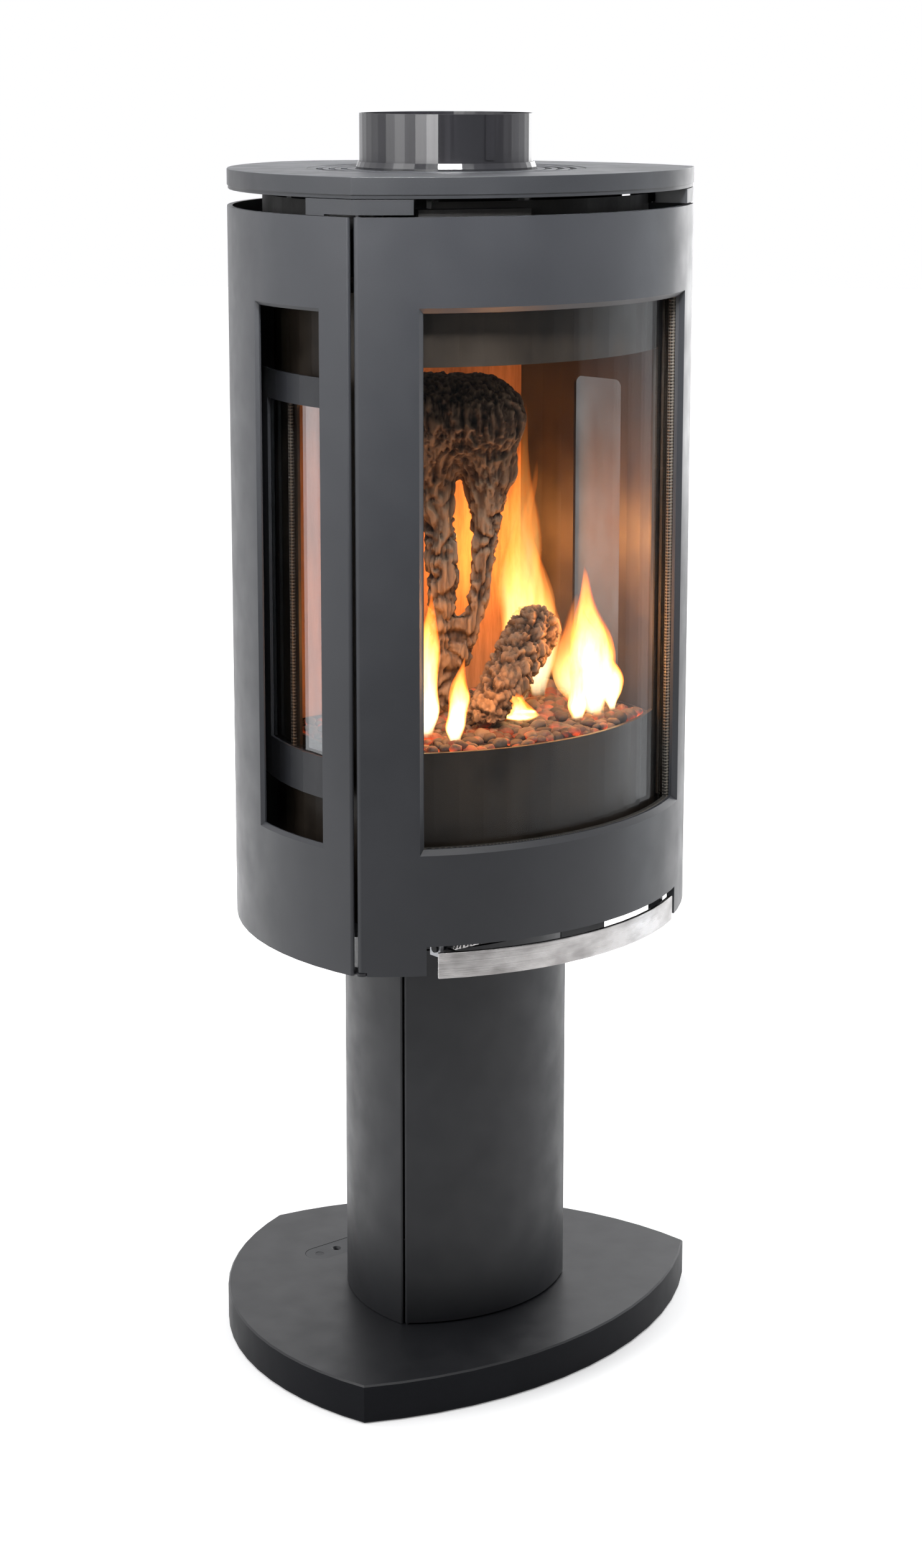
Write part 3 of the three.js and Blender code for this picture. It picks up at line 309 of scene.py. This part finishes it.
def floor_material():
    """White studio floor with painted light: it glows and is white around and beyond the stove, and painted shade
    turns it grey towards the camera.
    """
    look = Look("pale_floor", specular_ior_level=0.2, roughness=0.8, emission_color=(1.0, 1.0, 1.0, 1.0))
    along = look.add("ShaderNodeVectorMath", {0: look.place(), 1: AWAY}, operation="DOT_PRODUCT").outputs["Value"]
    lit = look.span(along, -2.1, -0.9)
    mottle = look.span(look.noise(3.0, 3.0), 0.3, 0.7, 0.96, 1.0)
    # Painted light and shade: colour and glow both follow the direction away from the camera.
    look.plug("Base Color", look.ramp(look.maths("MULTIPLY", lit, mottle), (0.0, (0.28,) * 3), (1.0, (0.90,) * 3)))
    look.plug("Emission Strength", look.maths("MULTIPLY_ADD", lit, 0.26, look.span(along, 0.6, 1.8, 0.0, 0.3)))
    return look.material


MATERIALS = {
    "body_enamel": enamel("body_enamel_satin", ENAMEL_DARK, ENAMEL_LIGHT, 0.36, 0.44),
    "cast_enamel": enamel("cast_enamel_satin", CAST_DARK, CAST_LIGHT, 0.38, 0.48, 0.0010, 0.00007),
    "dark_enamel": enamel("inner_enamel", (0.0085, 0.009, 0.011), (0.015, 0.016, 0.019), 0.42, 0.54),
    "gloss_black": gloss_black(),
    "stainless": brushed_steel(),
    "zinc_steel": plain_metal("zinc_plate", (0.36, 0.37, 0.39), (0.52, 0.53, 0.55), 0.28, 0.48, 140.0),
    "brass": plain_metal("worn_brass", (0.42, 0.27, 0.09), (0.62, 0.43, 0.17), 0.25, 0.42, 90.0),
    "heat_steel": chamber_steel(),
    "liner": fibre_board(),
    "glass": window_glass("window_glass", 0.010),
    "rope": rope_braid(),
    "bark": bark(),
    "ember": stone(),
    "black_plastic": moulded_plastic("black_plastic_grain", (0.012, 0.012, 0.013), (0.024, 0.024, 0.026)),
    "red_plastic": moulded_plastic("red_plastic_grain", (0.42, 0.02, 0.012), (0.55, 0.035, 0.022)),
}

# Nodes that look different from the rest of their slot.
NODE_MATERIALS = {
    "left_glass": window_glass("left_window_glass", 0.16),
    # The right side pane: a dark film painted on it as shade.
    "right_glass": shade_film_glass(),
    # The base plate: a darker copy of the cast enamel, painted shade, with less shine on its upright faces.
    "base_plate": enamel("base_enamel_painted_shade", BASE_SHADED_DARK, BASE_SHADED_LIGHT, 0.36, 0.44, 0.0010, 0.00007, shade_upright_faces=True),
    # The body's ceiling plate: near black, much darker than the rest of its slot.
    "body_ceiling_plate": enamel("near_black_enamel", (0.003, 0.003, 0.003), (0.011, 0.010, 0.009), 0.55, 0.75, 0.002, 0.0003),
}

# Nodes whose real edges are rounded enough to catch the light, with the edge radius in metres.
ROUNDED = {
    "top_plate": 0.0022, "base_plate": 0.0016, "door_panel": 0.0010,
    "left_side_panel": 0.0010, "right_side_panel": 0.0010, "rear_cover": 0.0008,
    "pedestal_left_panel": 0.0008, "pedestal_right_panel": 0.0008, "pedestal_front_cover": 0.0008,
    "pedestal_head_strip": 0.0006, "corner_spacer_left": 0.0008,
    "corner_spacer_right": 0.0008, "corner_spacer_back": 0.0008, "handle_strip": 0.0007, "grille_ring": 0.0005, "base_inlet_cover": 0.0004,
}


def dress_nodes():
    """Gives every CAD node the material of its record slot, and rounds the edges that show."""
    slot_of = {part["node"]: part["material_slot"] for part in frame["record"]["subparts"]}
    for name, node in frame["nodes"].items():
        node.data.materials.clear()
        node.data.materials.append(NODE_MATERIALS.get(name, MATERIALS[slot_of[name]]))
        round_edges(node, ROUNDED.get(name))


def round_edges(node, radius):
    """Rounds the edges of a node, or keeps them crisp when no radius is given."""
    weld = node.modifiers.new("weld", "WELD")
    weld.merge_threshold = 1e-5
    if not radius:
        crisp = node.modifiers.new("crisp", "EDGE_SPLIT")
        crisp.split_angle = math.radians(30)
        return
    flats = node.modifiers.new("flats", "DECIMATE")
    flats.decimate_type = "DISSOLVE"
    flats.angle_limit = math.radians(0.4)
    bevel = node.modifiers.new("edge", "BEVEL")
    bevel.width = radius
    bevel.segments = 2
    bevel.limit_method = "ANGLE"
    bevel.angle_limit = math.radians(32)
    smooth = node.modifiers.new("sheen", "WEIGHTED_NORMAL")
    smooth.mode = "FACE_AREA"


# ---------------------------------------------------------------- pieces

def finished(name, mesh, material, body):
    """Turns a mesh into a piece that rides on a body."""
    piece = bpy.data.objects.new(name, mesh)
    bpy.context.scene.collection.objects.link(piece)
    mesh.materials.clear()
    mesh.materials.append(material)
    for face in mesh.polygons:
        face.use_smooth = True
    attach(piece, body)
    return piece


def baked(source, *settings):
    """The mesh of a copy of source after modifiers, given as (kind, {setting: value})."""
    copy = bpy.data.objects.new("working_copy", source.data.copy())
    bpy.context.scene.collection.objects.link(copy)
    for kind, values in settings:
        modifier = copy.modifiers.new(kind.lower(), kind)
        for name, value in values.items():
            setattr(modifier, name, value)
    graph = bpy.context.evaluated_depsgraph_get()
    mesh = bpy.data.meshes.new_from_object(copy.evaluated_get(graph))
    bpy.data.objects.remove(copy)
    return mesh


def smoothstep(low, high, value):
    share = min(1.0, max(0.0, (value - low) / (high - low)))
    return share * share * (3 - 2 * share)


def craggy(point, width, length):
    """Height of broken bark, 0 along wandering cracks and 1 on the plates between them."""
    stretched = Vector((point.x / width, point.y / width, point.z / length))
    cracks = abs(noise.noise(stretched)) + 0.5 * abs(noise.noise(stretched * 2.3))
    return smoothstep(0.02, 0.42, cracks)


def fibrous(point, width, length):
    """Height of long upright fibres, 0 to 1."""
    stretched = Vector((point.x / width, point.y / width, point.z / length))
    return smoothstep(-0.55, 0.55, noise.fractal(stretched, 0.7, 2.1, 4))


def carved_log(name, node, body, voxel, chunk, depth, fibre_above):
    """A ceramic log: the CAD log re-meshed finely, then carved inwards into bark."""
    mesh = baked(frame["nodes"][node], ("WELD", {"merge_threshold": 1e-5}),
                 ("REMESH", {"mode": "VOXEL", "voxel_size": voxel}),
                 ("SMOOTH", {"factor": 0.6, "iterations": 14}))
    ridge = mesh.attributes.new("ridge", "FLOAT", "POINT")
    normals = [v.normal.copy() for v in mesh.vertices]
    for vertex, normal, value in zip(mesh.vertices, normals, ridge.data):
        point = vertex.co.copy()
        bend = noise.noise_vector(point * 22.0) * 0.010
        plates = craggy(point + bend, chunk, chunk * 0.9)
        knuckles = noise.fractal(point * 30.0, 0.9, 2.0, 3)
        fibres = fibrous(point + bend * 0.25, 0.0042, 0.110)
        share = smoothstep(fibre_above - 0.04, fibre_above + 0.03, point.z)
        value.value = (1 - share) * (0.6 * plates + 0.4 * fibres) + share * (0.25 * plates + 0.75 * fibres)
        carve = depth * (1 - share * 0.45) * (1 - value.value) + 0.0035 * max(0.0, -knuckles)
        vertex.co = point - normal * carve
    piece = finished(name, mesh, MATERIALS["bark"], body)
    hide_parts(node)
    return piece


BED_SEED = 11
PEBBLES = 900
PEBBLE_GAP = 0.0085
PEBBLE_RADIUS = (0.0042, 0.0088)


def bed_points(count, gap, dice):
    """Spots on the top of the ember bed, not closer than gap to each other."""
    mesh = frame["nodes"]["ember_bed"].data
    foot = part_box("ember_bed")[0].z
    tops = [f for f in mesh.polygons if f.normal.z > 0.7 and f.center.z > foot + 0.004]
    areas = [f.area for f in tops]
    spots = []
    for _ in range(count * 30):
        face = dice.choices(tops, areas)[0]
        a, b, c = (mesh.vertices[i].co for i in face.vertices[:3])
        u, v = dice.random(), dice.random()
        if u + v > 1:
            u, v = 1 - u, 1 - v
        spot = a + (b - a) * u + (c - a) * v
        if all((spot - other).length > gap for other in spots):
            spots.append(spot)
        if len(spots) == count:
            break
    return spots


def pebble_bed():
    """Loose pebbles on the ember bed, each one its own lumpy shape."""
    dice = random.Random(BED_SEED)
    low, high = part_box("ember_bed")
    form = bmesh.new()
    tone = form.verts.layers.float.new("tone")
    glow = form.verts.layers.float.new("glow")
    for spot in bed_points(PEBBLES, PEBBLE_GAP, dice):
        radius = dice.uniform(*PEBBLE_RADIUS) * (1.25 if dice.random() < 0.12 else 1.0)
        flat = Vector((dice.uniform(0.8, 1.25), dice.uniform(0.8, 1.25), dice.uniform(0.55, 0.8)))
        turn = Matrix.Rotation(dice.uniform(0, math.tau), 3, "Z") @ Matrix.Rotation(dice.uniform(-0.4, 0.4), 3, "X")
        shade, heat = dice.random(), dice.random() ** 1.5
        centre = spot + Vector((0, 0, radius * flat.z * 0.55))
        inset = Vector((min(max(centre.x, low.x + radius), high.x - radius),
                        min(max(centre.y, low.y + radius), high.y - radius), centre.z))
        made = bmesh.ops.create_icosphere(form, subdivisions=2, radius=1.0)["verts"]
        drift = Vector((dice.uniform(-9, 9) for _ in range(3)))
        for vertex in made:
            lump = 1 + 0.22 * noise.noise(vertex.co * 1.3 + drift) + 0.06 * noise.noise(vertex.co * 4.0 + drift)
            shape = Vector(a * b for a, b in zip(vertex.co * lump, flat))
            vertex[tone] = shade
            vertex[glow] = heat * smoothstep(0.35, -0.7, vertex.co.z) + heat * 0.25
            vertex.co = inset + turn @ (shape * radius)
    mesh = bpy.data.meshes.new("ember_pebbles")
    form.to_mesh(mesh)
    form.free()
    return finished("ember_pebbles", mesh, MATERIALS["ember"], "stove")


# Each flame: foot on the bed (x, y), height, width, lean of its tip (x, y), sway.
BRIGHT_FLAMES = {
    "flame_left_edge": ((-0.110, -0.100), 0.140, 0.044, (0.002, 0.0), 0.006),
    "flame_front_left": ((-0.100, -0.133), 0.080, 0.034, (0.014, 0.004), 0.004),
    "flame_front_middle": ((0.004, -0.112), 0.036, 0.042, (-0.012, 0.004), 0.003),
    "flame_right": ((0.080, -0.133), 0.150, 0.066, (-0.012, 0.004), 0.006),
    "flame_right_outer": ((0.108, -0.128), 0.085, 0.030, (-0.008, 0.004), 0.004),
    "flame_right_inner": ((0.054, -0.136), 0.075, 0.034, (0.006, 0.004), 0.004),
}
WARM_FLAMES = {
    "flame_behind_leg": ((0.052, -0.045), 0.200, 0.070, (0.016, 0.01), 0.008),
    "flame_behind_log": ((0.092, -0.035), 0.165, 0.066, (0.0, 0.01), 0.008),
    "flame_right_veil": ((0.086, -0.112), 0.120, 0.090, (-0.010, 0.01), 0.008),
}
FAINT_FLAMES = {
    "flame_tall": ((0.066, -0.040), 0.300, 0.060, (0.020, 0.02), 0.010),
    "flame_tall_outer": ((0.100, -0.020), 0.240, 0.050, (0.004, 0.02), 0.010),
    "flame_under_arch": ((-0.030, -0.020), 0.200, 0.036, (0.016, 0.0), 0.006),
}
FLAME_RINGS = 26
FLAME_SIDES = 20


def flame(name, foot, height, width, lean, sway, material):
    """A tongue of burning gas standing on the pebbles."""
    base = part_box("ember_bed")[1].z + 0.004
    drift = Vector((foot[0] * 40, foot[1] * 40, 0))
    form = bmesh.new()
    rise = form.verts.layers.float.new("rise")
    rings = []
    for k in range(FLAME_RINGS):
        t = k / (FLAME_RINGS - 1)
        swell = (0.30 + 0.70 * smoothstep(0.0, 0.24, t)) * (1 - t) ** 0.75 * (1 + 0.25 * math.sin(9 * t + drift.x))
        wander = noise.noise_vector(drift + Vector((0, 0, 2.6 * t))) * sway * 2 * t
        middle = Vector((foot[0] + lean[0] * t ** 1.3 + wander.x, foot[1] + lean[1] * t + wander.y, base + height * t))
        ring = []
        for j in range(FLAME_SIDES):
            angle = math.tau * j / FLAME_SIDES
            flutter = 1 + 0.22 * noise.noise(drift + Vector((2.5 * math.cos(angle), 2.5 * math.sin(angle), 4 * t)))
            reach = max(0.0004, width / 2 * swell * flutter)
            vertex = form.verts.new(middle + Vector((math.cos(angle), 0.7 * math.sin(angle), 0)) * reach)
            vertex[rise] = t
            ring.append(vertex)
        rings.append(ring)
    for below, above in zip(rings, rings[1:]):
        for j in range(FLAME_SIDES):
            form.faces.new((below[j], below[j - 1], above[j - 1], above[j]))
    form.faces.new(rings[0])
    form.faces.new(reversed(rings[-1]))
    bmesh.ops.recalc_face_normals(form, faces=form.faces)
    mesh = bpy.data.meshes.new(name)
    form.to_mesh(mesh)
    form.free()
    return finished(name, mesh, material, "stove")


def fire():
    kinds = (
        (BRIGHT_FLAMES, flame_gas("flame_bright", 7.0, 1.0)),
        (WARM_FLAMES, flame_gas("flame_warm", 4.0, 0.62)),
        (FAINT_FLAMES, flame_gas("flame_faint", 2.4, 0.40)),
    )
    for flames, material in kinds:
        for name, shape in flames.items():
            flame(name, *shape, material)


# ---------------------------------------------------------------- studio

def add_camera():
    data = bpy.data.cameras.new("camera")
    data.sensor_width = SENSOR
    data.lens = FOCAL_LENGTH
    data.shift_x, data.shift_y = CAMERA_SHIFT
    data.dof.use_dof = False
    level, fall = math.cos(CAMERA_PITCH), math.sin(CAMERA_PITCH)
    back = Vector((math.sin(CAMERA_YAW) * level, -math.cos(CAMERA_YAW) * level, fall))
    right = Vector((math.cos(CAMERA_YAW), math.sin(CAMERA_YAW), 0.0))
    camera = bpy.data.objects.new("camera", data)
    camera.matrix_world = Matrix.Translation(CAMERA_PLACE) @ Matrix((right, back.cross(right), back)).transposed().to_4x4()
    bpy.context.scene.collection.objects.link(camera)
    bpy.context.scene.camera = camera


def add_world():
    """A pale studio: white beyond the stove and at its sides, dimmer on the side of the camera."""
    world = bpy.data.worlds.new("studio")
    world.use_nodes = True
    tree = world.node_tree
    background = next(n for n in tree.nodes if n.type == "BACKGROUND")
    background.inputs["Strength"].default_value = 1.0
    direction = tree.nodes.new("ShaderNodeTexCoord").outputs["Generated"]
    along = tree.nodes.new("ShaderNodeVectorMath")
    along.operation = "DOT_PRODUCT"
    along.inputs[1].default_value = AWAY
    tree.links.new(direction, along.inputs[0])
    share = tree.nodes.new("ShaderNodeMapRange")
    share.inputs["From Min"].default_value = -1.0
    tree.links.new(along.outputs["Value"], share.inputs["Value"])
    ramp = tree.nodes.new("ShaderNodeValToRGB")
    stops = [(0.0, 0.16), (0.38, 0.30), (0.62, 1.0)]
    while len(ramp.color_ramp.elements) < len(stops):
        ramp.color_ramp.elements.new(0.5)
    for element, (position, value) in zip(ramp.color_ramp.elements, stops):
        element.position = position
        element.color = (value, value, value * 1.02, 1.0)
    tree.links.new(share.outputs["Result"], ramp.inputs["Fac"])
    tree.links.new(ramp.outputs["Color"], background.inputs["Color"])
    bpy.context.scene.world = world


def soft_box(name, place, aim, size, power, colour=(1.0, 1.0, 1.0), spread=180.0):
    data = bpy.data.lights.new(name, "AREA")
    data.shape = "RECTANGLE"
    data.size, data.size_y = size
    data.energy = power
    data.color = colour
    data.spread = math.radians(spread)
    light = bpy.data.objects.new(name, data)
    light.location = place
    light.rotation_euler = (Vector(aim) - Vector(place)).to_track_quat("-Z", "Y").to_euler()
    bpy.context.scene.collection.objects.link(light)


def glow(name, place, power, size):
    data = bpy.data.lights.new(name, "POINT")
    data.energy = power
    data.color = FIRE_LIGHT
    data.shadow_soft_size = size
    light = bpy.data.objects.new(name, data)
    light.location = place
    bpy.context.scene.collection.objects.link(light)


def add_lights():
    soft_box("overhead", (-0.3, -0.4, 3.3), (-0.1, -0.1, 0), (3.0, 3.0), 60.0)
    soft_box("top_front", (-0.9, -1.3, 2.9), (0, 0, 1.50), (0.8, 0.8), 15.0, spread=30.0)
    soft_box("key_left", (-2.6, 0.6, 1.9), (0, 0, 0.8), (1.6, 2.0), 42.0)
    soft_box("key_front_left", (-2.2, -1.1, 1.5), (0, 0, 1.35), (0.9, 1.0), 1.5, spread=34.0)
    soft_box("rim_right", (2.4, 0.9, 1.4), (0, 0, 0.7), (1.2, 2.0), 22.0)
    soft_box("strip_right", (1.96, -0.74, 0.5), (0.07, -0.19, 0.8), (0.09, 1.3), 2.6, (0.80, 0.89, 1.0))
    glow("fire_right", (0.085, -0.125, 0.735), 1.9, 0.02)
    glow("fire_behind", (0.095, -0.01, 0.80), 3.0, 0.03)
    glow("fire_left", (-0.105, -0.09, 0.73), 1.0, 0.02)
    glow("fire_front", (-0.055, -0.140, 0.70), 0.35, 0.015)


def disc_floor():
    form = bmesh.new()
    bmesh.ops.create_circle(form, cap_ends=True, segments=96, radius=FLOOR_RADIUS)
    mesh = bpy.data.meshes.new("floor")
    form.to_mesh(mesh)
    form.free()
    mesh.materials.append(floor_material())
    floor = bpy.data.objects.new("floor", mesh)
    floor.location.z = -0.0005
    bpy.context.scene.collection.objects.link(floor)


bpy.context.scene.view_settings.view_transform = "Standard"
add_camera()
add_world()
add_lights()
disc_floor()
dress_nodes()
carved_log("forked_log_bark", "forked_log", "stove", 0.0022, 0.022, 0.009, 0.87)
carved_log("short_log_bark", "short_log", "stove", 0.0019, 0.017, 0.009, 2.0)
pebble_bed()
fire()
